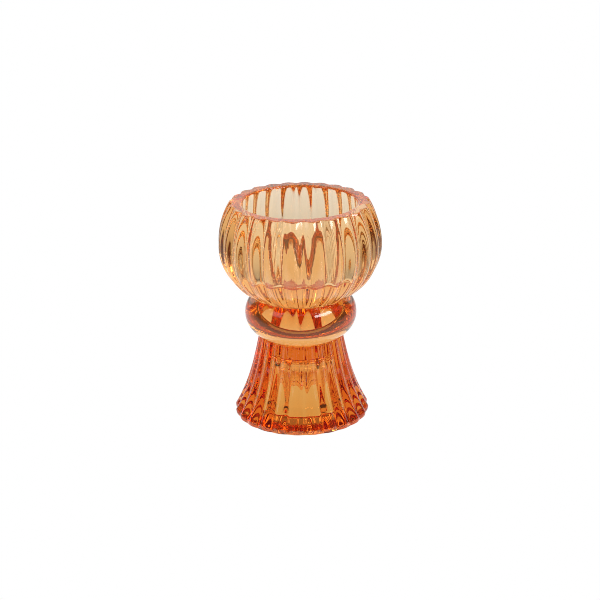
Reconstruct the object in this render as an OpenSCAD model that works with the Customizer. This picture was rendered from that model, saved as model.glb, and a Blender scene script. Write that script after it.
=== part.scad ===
// Footed glass candle holder: a ribbed bowl, a smooth knop and a ribbed foot,
// three solid glass members fused end to end on one vertical axis.
// The bowl is open at the top for a tealight. Turned upside down, the foot's
// socket takes a dinner candle.
// Origin: centre of the underside, on the plane that the foot stands on. +Z is up. Millimetres.

/* [Overall] */
// Height from the underside to the rim
total_h = 86; // [82:1:90]

/* [Ribs] */
// Ribs round the bowl, and the same number round the foot
rib_count = 24; // [16:1:32]
// Depth of the valley between two ribs, as a share of the radius there
rib_depth = 0.048; // [0.02:0.002:0.06]
// How full a rib is: 2 is a round back, higher is a flatter back
rib_fullness = 2; // [1.6:0.1:3]
// Facets across one rib
rib_steps = 6; // [4:2:8]

/* [Bowl] */
// Width of the bowl over its ribs, at its widest level
bowl_d = 63; // [60:1:66]
// Height of the bowl's widest level
bowl_equator_z = 69.5; // [68:0.5:72]
// Reach of the bowl's lower curve, were it carried down to the axis
bowl_drop = 25.5; // [24:0.5:27]
// Levels of facets on the bowl's side
bowl_levels = 20; // [12:1:24]

/* [Tealight well] */
// Width of the well's straight mouth
well_d = 44; // [41:0.5:46]
// Height of the straight wall at the mouth, below which the well narrows
well_land = 6; // [4:1:12]
// How much narrower the well is at its floor than at its mouth
well_draft = 2.8; // [0:0.2:4]
// Depth of the well below the rim
well_depth = 26; // [20:0.5:28]
// Rounding between the well's wall and its floor
well_fillet = 2; // [1:0.5:3]
// Rounding of the well's mouth
well_lip = 1; // [0.5:0.25:2]

/* [Knop] */
// Width of the knop
knop_d = 43.4; // [42:0.1:44]
// Radius of the knop's rounded side, seen in section
knop_round = 9.4; // [9.2:0.1:10]
// Height of the knop's widest level
knop_equator_z = 41.7; // [41:0.1:42]
// Height of the face where the knop meets the foot
knop_bottom_z = 32.7; // [32.5:0.1:33]
// Height of the face where the knop meets the bowl
knop_top_z = 49; // [48.5:0.1:49.5]

/* [Foot] */
// Width of the foot over its ribs
foot_d = 52.8; // [50:0.1:54]
// Width of the foot's top over its ribs, where it meets the knop
foot_neck_d = 32.8; // [31:0.1:34]
// Height of the foot's widest level, above which it tapers
foot_toe_h = 2; // [1.5:0.1:5]
// How far the toe rounds in towards the underside
foot_toe_inset = 0.8; // [0.5:0.1:1.5]
// Share of the ribs' relief that is left at the underside, where they fade out
foot_sole_relief = 0.25; // [0:0.05:1]
// Share of the foot's spread that curves outwards, the rest being straight
foot_flare = 0.38; // [0.2:0.02:0.5]
// Width of the dished part of the underside, inside the ring that the foot stands on
foot_dish_d = 47.6; // [46:0.2:48]
// Height of the dish at its middle, where the socket opens
foot_dish_h = 1.6; // [0.5:0.1:3]
// Levels of facets on the foot's tapered side
foot_levels = 9; // [6:1:12]

/* [Candle socket] */
// Width of the straight mouth of the socket for a 22 mm dinner candle
socket_d = 24; // [23:0.2:25]
// Height of the straight wall at the mouth, beyond which the socket narrows
socket_land = 4; // [3:1:8]
// How much narrower the socket is at its closed end than at its mouth
socket_draft = 2.4; // [0:0.2:3]
// Height of the socket's closed end above the plane that the foot stands on
socket_depth = 24; // [20:1:26]
// Rounding of the socket's closed end
socket_fillet = 4; // [1:0.5:5]
// Rounding of the socket's mouth
socket_lip = 1; // [0.5:0.25:1.5]

/* [Hidden] */

$fn = 96;

// Overshoot of a cutter past the face it opens
cut = 1;
// Flat ring left round the socket's mouth
mouth_ring = 1;
// Levels of facets round the foot's toe
toe_levels = 4;

bowl_r = bowl_d / 2;
well_r = well_d / 2;
well_floor_r = (well_d - well_draft) / 2;
well_floor_z = total_h - well_depth;
knop_ring_r = knop_d / 2 - knop_round;
foot_r = foot_d / 2;
foot_neck_r = foot_neck_d / 2;
foot_dish_r = foot_dish_d / 2;
socket_r = socket_d / 2;
socket_end_r = (socket_d - socket_draft) / 2;

// A level of a ribbed wall is [radius over the ribs, height, share of the ribs' relief].

// The bowl's side: a circle's arc from rim to equator, an ellipse's below it
rim_angle = asin((total_h - bowl_equator_z) / bowl_r);
bottom_angle = -asin((bowl_equator_z - knop_top_z) / bowl_drop);
bowl_wall = [
    for (i = [0 : bowl_levels])
        let (
            a = bottom_angle + (rim_angle - bottom_angle) * i / bowl_levels,
            reach = a > 0 ? bowl_r : bowl_drop
        )
        [bowl_r * cos(a), bowl_equator_z + reach * sin(a), 1]
];

// The foot's side: a quarter ellipse round the toe, then a flared taper
foot_toe = [
    for (i = [0 : toe_levels - 1])
        let (a = 90 * i / toe_levels)
        [foot_r - foot_toe_inset * (1 - sin(a)),
         foot_toe_h * (1 - cos(a)),
         foot_sole_relief + (1 - foot_sole_relief) * (1 - cos(a))]
];
foot_taper = [
    for (i = [0 : foot_levels])
        let (
            down = 1 - i / foot_levels,
            spread = (1 - foot_flare) * down + foot_flare * pow(down, 3)
        )
        [foot_neck_r + (foot_r - foot_neck_r) * spread,
         knop_bottom_z + (foot_toe_h - knop_bottom_z) * down,
         1]
];

// Height of a rib's back at a share of the way across it: 0 in a valley, 1 on the crest
function rib_back(across) = 1 - pow(abs(2 * across - 1), rib_fullness);

// Solid with ribs running up its side, through a list of levels from the lowest up
module ribbed_solid(levels) {
    sides = rib_count * rib_steps;
    rings = [
        for (level = levels)
            for (k = [0 : sides - 1])
                let (
                    across = (k % rib_steps) / rib_steps,
                    r = level[0] * (1 - level[2] * rib_depth * (1 - rib_back(across))),
                    a = 360 * (k / sides - 0.5 / rib_count) - 90
                )
                [r * cos(a), r * sin(a), level[1]]
    ];
    last = len(levels) - 1;
    bottom_centre = len(rings);
    top_centre = bottom_centre + 1;
    centres = [[0, 0, levels[0][1]], [0, 0, levels[last][1]]];
    ends = [
        for (k = [0 : sides - 1])
            let (next = (k + 1) % sides)
            each [
                [bottom_centre, k, next],
                [top_centre, last * sides + next, last * sides + k]
            ]
    ];
    wall = [
        for (i = [0 : last - 1])
            for (k = [0 : sides - 1])
                let (
                    low = i * sides + k,
                    low_next = i * sides + (k + 1) % sides
                )
                each [
                    [low, low + sides, low_next],
                    [low_next, low + sides, low_next + sides]
                ]
    ];
    polyhedron(points = concat(rings, centres), faces = concat(ends, wall));
}

// Round hollow standing on z = 0: a rounded closed end, a wall that widens from
// end_r to mouth_r, a straight land below the mouth, and a rounded lip
module round_hollow(mouth_r, end_r, depth, land, end_fillet, lip) {
    lip_z = depth - lip;
    rotate_extrude() {
        square([end_r - end_fillet, depth + cut]);
        polygon([
            [0, end_fillet],
            [end_r, end_fillet],
            [mouth_r, lip_z - land],
            [mouth_r, depth + cut],
            [0, depth + cut]
        ]);
        translate([end_r - end_fillet, end_fillet])
            circle(end_fillet);
        difference() {
            translate([0, lip_z])
                square([mouth_r + lip, lip + cut]);
            translate([mouth_r + lip, lip_z])
                circle(lip);
        }
    }
}

module bowl() {
    color([0.89, 0.68, 0.42, 0.6])
    difference() {
        ribbed_solid(bowl_wall);
        translate([0, 0, well_floor_z])
            round_hollow(well_r, well_floor_r, well_depth, well_land, well_fillet, well_lip);
    }
}

module knop() {
    color([0.68, 0.25, 0.1, 0.6])
    rotate_extrude()
        intersection() {
            translate([0, knop_bottom_z])
                square([knop_d, knop_top_z - knop_bottom_z]);
            union() {
                translate([knop_ring_r, knop_equator_z])
                    circle(knop_round);
                translate([0, knop_bottom_z])
                    square([knop_ring_r, knop_top_z - knop_bottom_z]);
            }
        }
}

module foot() {
    color([0.85, 0.5, 0.22, 0.6])
    difference() {
        ribbed_solid(concat(foot_toe, foot_taper));
        rotate_extrude()
            polygon([
                [0, -cut],
                [foot_dish_r, -cut],
                [foot_dish_r, 0],
                [socket_r + socket_lip + mouth_ring, foot_dish_h],
                [0, foot_dish_h]
            ]);
        translate([0, 0, socket_depth])
            mirror([0, 0, 1])
                round_hollow(
                    socket_r, socket_end_r, socket_depth - foot_dish_h,
                    socket_land, socket_fillet, socket_lip
                );
    }
}

bowl();
knop();
foot();
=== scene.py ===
"""Looks of the glass candle holder: bowl, knop and foot of amber glass on a white table.

Each member is a closed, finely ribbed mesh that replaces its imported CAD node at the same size.
The holder's lengths are in millimetres and become metres when a mesh is made. The studio's
lengths are in metres. Angles are in degrees.
"""

import math

import bpy
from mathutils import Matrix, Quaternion, Vector


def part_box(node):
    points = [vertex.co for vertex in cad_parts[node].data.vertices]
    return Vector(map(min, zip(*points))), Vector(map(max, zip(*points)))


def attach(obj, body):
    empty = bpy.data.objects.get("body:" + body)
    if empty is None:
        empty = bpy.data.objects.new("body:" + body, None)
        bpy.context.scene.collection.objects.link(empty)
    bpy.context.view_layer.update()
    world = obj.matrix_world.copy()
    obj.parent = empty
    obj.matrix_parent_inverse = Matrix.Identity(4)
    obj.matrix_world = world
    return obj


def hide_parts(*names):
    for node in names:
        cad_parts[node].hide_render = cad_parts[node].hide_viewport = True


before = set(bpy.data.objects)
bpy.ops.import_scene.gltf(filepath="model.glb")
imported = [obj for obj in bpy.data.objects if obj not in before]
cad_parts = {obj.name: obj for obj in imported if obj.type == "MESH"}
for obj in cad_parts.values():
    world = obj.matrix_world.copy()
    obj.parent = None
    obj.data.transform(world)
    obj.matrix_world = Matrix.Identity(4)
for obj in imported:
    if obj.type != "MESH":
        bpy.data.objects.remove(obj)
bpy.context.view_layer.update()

MM = 0.001

# ---------------------------------------------------------------- the design's sizes

RIM_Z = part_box("bowl")[1].z / MM
BOWL_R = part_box("bowl")[1].x / MM
KNOP_TOP_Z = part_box("knop")[1].z / MM
KNOP_BOTTOM_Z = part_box("knop")[0].z / MM
KNOP_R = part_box("knop")[1].x / MM
FOOT_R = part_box("foot")[1].x / MM

RIB_COUNT = 24
RIB_DEPTH = 0.048       # valley depth as a share of the radius
RIB_FULLNESS = 2.0      # 2 is a round back
VALLEY_ROUND = 0.30     # share of half a rib over which the valley is rounded

EQUATOR_Z = 69.5        # the bowl's widest level
BOWL_DROP = 25.5        # reach of the bowl's lower curve
WELL_R = 22.0           # of the straight land below the mouth
WELL_LAND = 6.0
WELL_DRAFT = 1.4        # taken off the radius from the land to the floor
WELL_DEPTH = 26.0
WELL_FILLET = 2.0
WELL_LIP = 1.0

KNOP_ROUND = 9.4
KNOP_EQUATOR_Z = 41.7

NECK_R = 16.4
TOE_H = 2.0             # height of the foot's widest level
TOE_INSET = 0.8
SOLE_RELIEF = 0.25      # share of the ribs' relief that is left at the underside
FOOT_FLARE = 0.38       # share of the foot's spread that curves outwards
DISH_R = 23.8           # of the dished part of the underside, inside the standing ring
DISH_H = 1.6            # height of the dish where the socket opens
MOUTH_RING = 1.0        # flat ring round the socket's mouth
SOCKET_R = 12.0         # of the straight land inside the mouth
SOCKET_LAND = 4.0
SOCKET_DRAFT = 1.2      # taken off the radius from the land to the closed end
SOCKET_END_Z = 24.0     # height of the closed end
SOCKET_FILLET = 4.0
SOCKET_LIP = 1.0

BOWL_HEEL = 1.5         # rounding of the bowl's lower edge, on the knop
BOWL_SHOULDER = 0.4     # rounding of the rim's outer edge
FOOT_SHOULDER = 0.2     # rounding of the foot's upper edge, under the knop

JOINT_GAP = 0.01        # half the hairline between two fused faces

# ---------------------------------------------------------------- the meshes' fineness

RIB_SAMPLES = 9         # mesh columns from a valley to a crest
COLUMN_CROWDING = 1.5   # above 1, the columns stand closest together in the valleys
EDGE_ROWS = 6           # mesh rows round a lip or a rounded edge
EDGE_CLEARANCE = 0.1    # height kept free of a side's own rows beside a rounded edge
BOWL_ROWS = (66, 60)    # below and above the bowl's widest level
KNOP_ROWS = 48
TAPER_ROWS = 60
TOE_ROWS = 12
DISH_ROWS = 12
SHARP_ANGLE = 40        # between faces, above which their edge stays sharp


# ---------------------------------------------------------------- outlines

def arc(centre, radius, start, end, steps):
    """Points (r, z) on an ellipse's arc; radius is one number or a pair."""
    a, b = radius if isinstance(radius, tuple) else (radius, radius)
    turns = [math.radians(start + (end - start) * i / steps) for i in range(steps + 1)]
    return [(centre[0] + a * math.cos(t), centre[1] + b * math.sin(t)) for t in turns]


def line(start, end, steps):
    """Points (r, z) evenly along a straight stretch."""
    return [
        tuple(s + (e - s) * i / steps for s, e in zip(start, end))
        for i in range(steps + 1)
    ]


def ribbed(points):
    """Outline of (r, z, rib share, coated) on a surface that carries the ribs' whole relief."""
    return [(r, z, 1.0, True) for r, z in points]


def fading(points, height, least):
    """The same where the relief fades, below a height, to its least share at the underside."""
    return [(r, z, least + (1 - least) * min(z / height, 1), True) for r, z in points]


def plain(points):
    """The same on a smooth, round outer surface."""
    return [(r, z, 0.0, True) for r, z in points]


def bare(points):
    """The same inside a hollow, where the glass has no amber coat."""
    return [(r, z, 0.0, False) for r, z in points]


def blended(start, end, steps):
    """Flat stretch between a ribbed edge and a round one, at both of their (r, z, rib share)."""
    stretch = line(start, end, steps)[1:-1]
    return [(r, z, share, True) for r, z, share in stretch]


def hollow(mouth_r, end_r, mouth_z, end_z, land, fillet, lip):
    """Outline down a hollow's lip, land, drafted wall and rounded end, to the axis."""
    into = 1 if end_z > mouth_z else -1
    lip_z, fillet_z = mouth_z + into * lip, end_z - into * fillet
    land_z = lip_z + into * land
    return bare(
        arc((mouth_r + lip, lip_z), lip, -90 * into, -180 * into, EDGE_ROWS)
        + line((mouth_r, lip_z), (mouth_r, land_z), 4)[1:]
        + line((mouth_r, land_z), (end_r, fillet_z), 12)[1:]
        + arc((end_r - fillet, fillet_z), fillet, 0, 90 * into, 10)[1:]
        + line((end_r - fillet, end_z), (0, end_z), 4)[1:]
    )


def rib_back(share):
    """Height of a rib's back at a share of the way from valley to crest, from 0 to 1."""
    soft = math.hypot(share, VALLEY_ROUND) - VALLEY_ROUND
    soft /= math.hypot(1, VALLEY_ROUND) - VALLEY_ROUND
    return 1 - (1 - soft) ** RIB_FULLNESS


def rib_columns():
    """(angle, valley share) of every mesh column, closest together in the valleys."""
    shares = [(i / RIB_SAMPLES) ** COLUMN_CROWDING for i in range(RIB_SAMPLES + 1)]
    half = math.pi / RIB_COUNT
    columns = []
    for rib in range(RIB_COUNT):
        crest = 2 * half * rib - math.pi / 2
        rising = [(crest - half * (1 - s), 1 - rib_back(s)) for s in shares]
        falling = [(2 * crest - a, v) for a, v in reversed(rising[1:-1])]
        columns += rising + falling
    return columns


def turned_solid(name, outline, joints):
    """Closed mesh from an outline of (r, z, rib share, coated) that starts and ends on the axis.

    joints gives, for each fused level, the radius of the fused disc. Two attributes go on the
    faces: "joint" is 1 on a fused disc, and "coat" is 1 where the amber coat shows."""
    columns = rib_columns()
    count = len(columns)
    verts = [(0, 0, outline[0][1] * MM)]
    for r, z, share, _ in outline[1:-1]:
        for angle, valley in columns:
            reach = r * (1 - RIB_DEPTH * share * valley) * MM
            verts.append((reach * math.cos(angle), reach * math.sin(angle), z * MM))
    verts.append((0, 0, outline[-1][1] * MM))
    last = len(verts) - 1
    top = last - count
    faces, levels = [], []
    for k in range(count):
        after = (k + 1) % count
        faces += [(0, 1 + after, 1 + k), (last, top + k, top + after)]
        levels += [0, len(outline) - 2]
        for i in range(len(outline) - 3):
            low = 1 + i * count
            faces.append((low + k, low + after, low + count + after, low + count + k))
            levels.append(i + 1)
    mesh = bpy.data.meshes.new(name)
    mesh.from_pydata(verts, [], faces)
    joint = mesh.attributes.new("joint", "FLOAT", "FACE")
    coat = mesh.attributes.new("coat", "FLOAT", "FACE")
    for face, level in zip(mesh.polygons, levels):
        (r, z, _, coated), (next_r, next_z, _, next_coated) = outline[level:level + 2]
        fused = z == next_z and max(r, next_r) <= joints.get(z, -1)
        joint.data[face.index].value = float(fused)
        coat.data[face.index].value = float(coated and next_coated and not fused)
    mesh.polygons.foreach_set("use_smooth", [True] * len(mesh.polygons))
    mesh.set_sharp_from_angle(angle=math.radians(SHARP_ANGLE))
    piece = bpy.data.objects.new(name, mesh)
    bpy.context.scene.collection.objects.link(piece)
    return piece


def rounded(corner, back, ahead, radius):
    """Points (r, z) round a corner of an outline.

    They run from the side that goes to the point back to the side that goes to ahead."""
    corner, back, ahead = Vector(corner), Vector(back), Vector(ahead)
    start = corner + (back - corner).normalized() * radius
    end = corner + (ahead - corner).normalized() * radius
    points = []
    for i in range(EDGE_ROWS + 1):
        t = i / EDGE_ROWS
        points.append(tuple((1 - t) ** 2 * start + 2 * t * (1 - t) * corner + t * t * end))
    return points


BOWL_LOW = KNOP_TOP_Z + JOINT_GAP
KNOP_LOW, KNOP_HIGH = KNOP_BOTTOM_Z + JOINT_GAP, KNOP_TOP_Z - JOINT_GAP
FOOT_HIGH = KNOP_BOTTOM_Z - JOINT_GAP
BOWL_BOTTOM_TURN = -math.degrees(math.asin((EQUATOR_Z - BOWL_LOW) / BOWL_DROP))
KNOP_BOTTOM_TURN = math.degrees(math.asin((KNOP_LOW - KNOP_EQUATOR_Z) / KNOP_ROUND))
KNOP_TOP_TURN = math.degrees(math.asin((KNOP_HIGH - KNOP_EQUATOR_Z) / KNOP_ROUND))
BOWL_SEAT_R = BOWL_R * math.cos(math.radians(BOWL_BOTTOM_TURN)) - BOWL_HEEL
KNOP_SEAT_R = KNOP_R - KNOP_ROUND * (1 - math.cos(math.radians(KNOP_BOTTOM_TURN)))


def make_bowl():
    rim_turn = math.degrees(math.asin((RIM_Z - EQUATOR_Z) / BOWL_R))
    centre = (0, EQUATOR_Z)
    under = arc(centre, (BOWL_R, BOWL_DROP), BOWL_BOTTOM_TURN, 0, BOWL_ROWS[0])
    upper = arc(centre, BOWL_R, 0, rim_turn, BOWL_ROWS[1])[1:]
    lip_r = WELL_R + WELL_LIP
    heel = rounded(under[0], (0, BOWL_LOW), under[4], BOWL_HEEL)
    under = heel + [p for p in under if p[1] > heel[-1][1] + EDGE_CLEARANCE]
    shoulder = rounded(upper[-1], upper[-4], (lip_r, RIM_Z), BOWL_SHOULDER)
    upper = [p for p in upper if p[1] < shoulder[0][1] - EDGE_CLEARANCE] + shoulder
    outline = (
        ribbed(line((0, BOWL_LOW), (BOWL_SEAT_R, BOWL_LOW), 4)[:-1] + under + upper)
        + blended((upper[-1][0], RIM_Z, 1.0), (lip_r, RIM_Z, 0.0), 8)
        + hollow(WELL_R, WELL_R - WELL_DRAFT, RIM_Z, RIM_Z - WELL_DEPTH,
                 WELL_LAND, WELL_FILLET, WELL_LIP)
    )
    return turned_solid("bowl_glass", outline, {BOWL_LOW: BOWL_R})


def make_knop():
    ring_r = KNOP_R - KNOP_ROUND
    centre = (ring_r, KNOP_EQUATOR_Z)
    side = arc(centre, KNOP_ROUND, KNOP_BOTTOM_TURN, KNOP_TOP_TURN, KNOP_ROWS)
    bottom = line((0, KNOP_LOW), (KNOP_SEAT_R, KNOP_LOW), 4)[:-1]
    top = [(BOWL_SEAT_R, KNOP_HIGH)] + line((BOWL_SEAT_R, KNOP_HIGH), (0, KNOP_HIGH), 4)[1:]
    side[0], side[-1] = (side[0][0], KNOP_LOW), (side[-1][0], KNOP_HIGH)
    outline = plain(bottom + side + top)
    return turned_solid("knop_glass", outline, {KNOP_LOW: KNOP_R, KNOP_HIGH: BOWL_SEAT_R})


def make_foot():
    toe = arc((FOOT_R - TOE_INSET, TOE_H), (TOE_INSET, TOE_H), -90, 0, TOE_ROWS)
    taper = []
    for i in range(1, TAPER_ROWS + 1):
        down = 1 - i / TAPER_ROWS
        spread = (1 - FOOT_FLARE) * down + FOOT_FLARE * down**3
        reach = NECK_R + (FOOT_R - NECK_R) * spread
        taper.append((reach, FOOT_HIGH + (TOE_H - FOOT_HIGH) * down))
    shoulder = rounded(taper[-1], taper[-5], (0, FOOT_HIGH), FOOT_SHOULDER)
    taper = [p for p in taper if p[1] < shoulder[0][1] - EDGE_CLEARANCE] + shoulder
    seat_r = min(KNOP_SEAT_R, shoulder[-1][0] * (1 - RIB_DEPTH))
    side = toe + taper
    lip_r = SOCKET_R + SOCKET_LIP
    socket = hollow(SOCKET_R, SOCKET_R - SOCKET_DRAFT, DISH_H, SOCKET_END_Z,
                    SOCKET_LAND, SOCKET_FILLET, SOCKET_LIP)
    sole = blended((side[0][0], 0, SOLE_RELIEF), (DISH_R, 0, 0.0), 4)
    dish = plain(line((DISH_R, 0), (lip_r + MOUTH_RING, DISH_H), DISH_ROWS))
    outline = (
        list(reversed(socket))
        + list(reversed(sole + dish))
        + fading(side, TOE_H, SOLE_RELIEF)
        + plain(line((seat_r, FOOT_HIGH), (0, FOOT_HIGH), 4))
    )
    return turned_solid("foot_glass", outline, {FOOT_HIGH: seat_r})


# ---------------------------------------------------------------- materials

def amber_glass(name, absorbed, coat):
    """Amber glass with an amber coat on its outer faces.

    absorbed is the natural exponent by which a millimetre of glass dims red, green and blue,
    and coat is the share of each that gets through the coat twice, in and out. Where two
    members are fused, the "joint" attribute drops the index to 1, so light goes straight
    through."""
    mat = bpy.data.materials.new(name)
    mat.use_nodes = True
    nodes, links = mat.node_tree.nodes, mat.node_tree.links
    surface = nodes["Principled BSDF"]
    surface.inputs["Roughness"].default_value = 0.0
    surface.inputs["Transmission Weight"].default_value = 1.0
    joint = nodes.new("ShaderNodeAttribute")
    joint.attribute_name = "joint"
    index = nodes.new("ShaderNodeMath")
    index.operation = "MULTIPLY_ADD"
    index.inputs[1].default_value = 1 - GLASS_INDEX
    index.inputs[2].default_value = GLASS_INDEX
    links.new(joint.outputs["Fac"], index.inputs[0])
    links.new(index.outputs[0], surface.inputs["IOR"])
    coated = nodes.new("ShaderNodeAttribute")
    coated.attribute_name = "coat"
    tint = nodes.new("ShaderNodeMix")
    tint.data_type = "RGBA"
    tint.inputs["A"].default_value = (1, 1, 1, 1)
    tint.inputs["B"].default_value = (*coat, 1)
    links.new(coated.outputs["Fac"], tint.inputs["Factor"])
    links.new(tint.outputs["Result"], surface.inputs["Base Color"])
    depth = nodes.new("ShaderNodeVolumeAbsorption")
    most = max(absorbed)
    depth.inputs["Color"].default_value = (*[1 - a / most for a in absorbed], 1)
    depth.inputs["Density"].default_value = most / MM
    links.new(depth.outputs["Volume"], nodes["Material Output"].inputs["Volume"])
    return mat


# ---------------------------------------------------------------- the holder

GLASS_INDEX = 1.52
AMBER = (0.07, 0.42, 1.0)       # how strongly the amber takes off red and green, next to blue

# For each member, the exponents for blue of a millimetre of glass and of one pass through
# the coat
STRENGTHS = {"bowl": (0.033, 0.30), "knop": (0.036, 0.32), "foot": (0.112, 0.40)}

for make, node in ((make_bowl, "bowl"), (make_knop, "knop"), (make_foot, "foot")):
    in_glass, in_coat = STRENGTHS[node]
    piece = make()
    piece.data.materials.append(
        amber_glass(
            node + "_glass",
            [a * in_glass for a in AMBER],
            [math.exp(-2 * a * in_coat) for a in AMBER],
        )
    )
    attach(piece, "root")
    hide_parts(node)


# ---------------------------------------------------------------- studio and camera

WHITE = 1.0                             # radiance of plain white

ORBIT = Vector((0, 0, 0.04457))         # the point that the camera looks at
CAMERA_TURN, CAMERA_RISE, CAMERA_AWAY = 4.9, 20.3, 0.6317
CAMERA_ROLL = -0.7
CAMERA_LENS = 97.4                      # focal length in millimetres
CAMERA_SHIFT = (-0.0012, 0.0057)
CLIP_START = 0.01

TABLE_Z, TABLE_R = -0.0001, 4.0
UNDER_FOOT_R = 0.024
UNDER_FOOT = (0.82, 0.63, 0.33)         # stands in for light that has come through the foot
POOL_FALLOFF = (0.03, 0.45, 1.0, 0.5)   # from and to these distances, and these brightnesses
NEAR_SHADE = (-0.15, -0.03, 0.25, 1.0)  # the same along Y, for the shade in front

# Grey cards all round but behind the holder, with softboxes and a lamp inside them:
# azimuths and elevations from the holder, distance and radiance
PANELS = {
    "hood_low": ((48, 312), (-1, 26), 0.72, 0.12),
    "hood_right": ((48, 150), (26, 45), 0.72, 0.3),
    "hood_front": ((150, 210), (26, 45), 0.72, 0.05),
    "hood_left": ((210, 312), (26, 45), 0.72, 0.3),
    "hood_top": ((0, 360), (45, 90), 0.72, 0.5),
    "softbox_back": ((-45, 75), (46, 66), 0.70, 2.0),
    "softbox_right": ((105, 135), (28, 62), 0.70, 2.5),
    "softbox_left": ((-135, -105), (28, 62), 0.70, 1.7),
    "lamp_right": ((103, 148), (32, 42), 0.68, 12.0),
}

FILTER_WIDTH = 0.9                      # of the reconstruction filter; narrow, for crisp streaks
GLASS_BOUNCES, GLOSSY_BOUNCES = 48, 24


def way(azimuth, elevation):
    """Unit vector at an angle to the right of straight away from the camera, and upwards."""
    a, e = math.radians(azimuth - CAMERA_TURN), math.radians(elevation)
    return Vector((math.sin(a) * math.cos(e), math.cos(a) * math.cos(e), math.sin(e)))


def glowing(name, radiance):
    """Material that shines evenly; radiance is one number or a colour."""
    mat = bpy.data.materials.new(name)
    mat.use_nodes = True
    mat.cycles.emission_sampling = "NONE"
    nodes, links = mat.node_tree.nodes, mat.node_tree.links
    nodes.remove(nodes["Principled BSDF"])
    glow = nodes.new("ShaderNodeEmission")
    colour = radiance if isinstance(radiance, tuple) else (radiance,) * 3
    glow.inputs["Color"].default_value = (*colour, 1)
    links.new(glow.outputs[0], nodes["Material Output"].inputs["Surface"])
    return mat


def staged(name, verts, faces, mat):
    """Piece of the surroundings, which is not part of the holder."""
    mesh = bpy.data.meshes.new(name)
    mesh.from_pydata(verts, [], faces)
    mesh.materials.append(mat)
    piece = bpy.data.objects.new(name, mesh)
    bpy.context.scene.collection.objects.link(piece)
    return piece


def panel(name, azimuths, elevations, radius, radiance):
    """Dished card or softbox between two azimuths and two elevations, carried by the camera."""
    columns, rows = 16, 8
    (a0, a1), (e0, e1) = azimuths, elevations
    verts = [
        ORBIT + way(a0 + (a1 - a0) * i / columns, e0 + (e1 - e0) * j / rows) * radius
        for j in range(rows + 1)
        for i in range(columns + 1)
    ]
    faces = []
    for j in range(rows):
        for i in range(columns):
            low = j * (columns + 1) + i
            faces.append((low, low + 1, low + columns + 2, low + columns + 1))
    piece = staged(name, verts, faces, glowing(name, radiance))
    camera = bpy.context.scene.camera
    piece.parent = camera
    piece.matrix_parent_inverse = camera.matrix_world.inverted()
    return piece


def disc(name, inner, outer, mat):
    """Flat ring of the table's top, or a disc of it if inner is 0."""
    steps = 96
    turns = [2 * math.pi * i / steps for i in range(steps)]
    verts = [(outer * math.cos(t), outer * math.sin(t), TABLE_Z) for t in turns]
    faces = [tuple(range(steps))]
    if inner:
        verts += [(inner * math.cos(t), inner * math.sin(t), TABLE_Z) for t in turns]
        faces = [
            (i, (i + 1) % steps, steps + (i + 1) % steps, steps + i) for i in range(steps)
        ]
    return staged(name, verts, faces, mat)


def ramp(tree, source, limits):
    """Output of a smooth ramp from one pair of values to another, on a node's output."""
    node = tree.nodes.new("ShaderNodeMapRange")
    node.interpolation_type = "SMOOTHSTEP"
    for socket, value in zip(("From Min", "From Max", "To Min", "To Max"), limits):
        node.inputs[socket].default_value = value
    tree.links.new(source, node.inputs["Value"])
    return node.outputs["Result"]


def make_table():
    """White table: an even white to the eye, and a pool of light as the glass sees it."""
    pool_mat = glowing("table_pool", WHITE)
    tree = pool_mat.node_tree
    place = tree.nodes.new("ShaderNodeTexCoord")
    reach = tree.nodes.new("ShaderNodeVectorMath")
    reach.operation = "LENGTH"
    along = tree.nodes.new("ShaderNodeSeparateXYZ")
    shaded = tree.nodes.new("ShaderNodeMath")
    shaded.operation = "MULTIPLY"
    tree.links.new(place.outputs["Object"], reach.inputs[0])
    tree.links.new(place.outputs["Object"], along.inputs[0])
    tree.links.new(ramp(tree, reach.outputs["Value"], POOL_FALLOFF), shaded.inputs[0])
    tree.links.new(ramp(tree, along.outputs["Y"], NEAR_SHADE), shaded.inputs[1])
    tree.links.new(shaded.outputs[0], tree.nodes["Emission"].inputs["Strength"])
    pool = disc("table_pool", UNDER_FOOT_R, TABLE_R, pool_mat)
    pool.visible_camera = False
    disc("table_under_foot", 0, UNDER_FOOT_R, glowing("table_under_foot", UNDER_FOOT))
    white = disc("table_top", UNDER_FOOT_R, TABLE_R, glowing("table_top", WHITE))
    for ray in ("diffuse", "glossy", "transmission", "volume_scatter", "shadow"):
        setattr(white, "visible_" + ray, False)


def make_world():
    world = bpy.data.worlds.new("studio")
    bpy.context.scene.world = world
    world.use_nodes = True
    background = world.node_tree.nodes["Background"]
    background.inputs["Color"].default_value = (1, 1, 1, 1)
    background.inputs["Strength"].default_value = WHITE


def make_camera():
    data = bpy.data.cameras.new("camera")
    camera = bpy.data.objects.new("camera", data)
    bpy.context.scene.collection.objects.link(camera)
    bpy.context.scene.camera = camera
    back = way(180, CAMERA_RISE)
    camera.location = ORBIT + back * CAMERA_AWAY
    camera.rotation_mode = "QUATERNION"
    aim = (-back).to_track_quat("-Z", "Y")
    camera.rotation_quaternion = aim @ Quaternion((0, 0, 1), math.radians(CAMERA_ROLL))
    data.lens = CAMERA_LENS
    data.shift_x, data.shift_y = CAMERA_SHIFT
    data.clip_start = CLIP_START
    bpy.context.view_layer.update()


make_world()
make_camera()
make_table()
for name, (azimuths, elevations, radius, radiance) in PANELS.items():
    panel(name, azimuths, elevations, radius, radiance)

scene = bpy.context.scene
scene.view_settings.view_transform = "Standard"
scene.cycles.filter_width = FILTER_WIDTH
scene.cycles.max_bounces = GLASS_BOUNCES
scene.cycles.transmission_bounces = GLASS_BOUNCES
scene.cycles.glossy_bounces = GLOSSY_BOUNCES
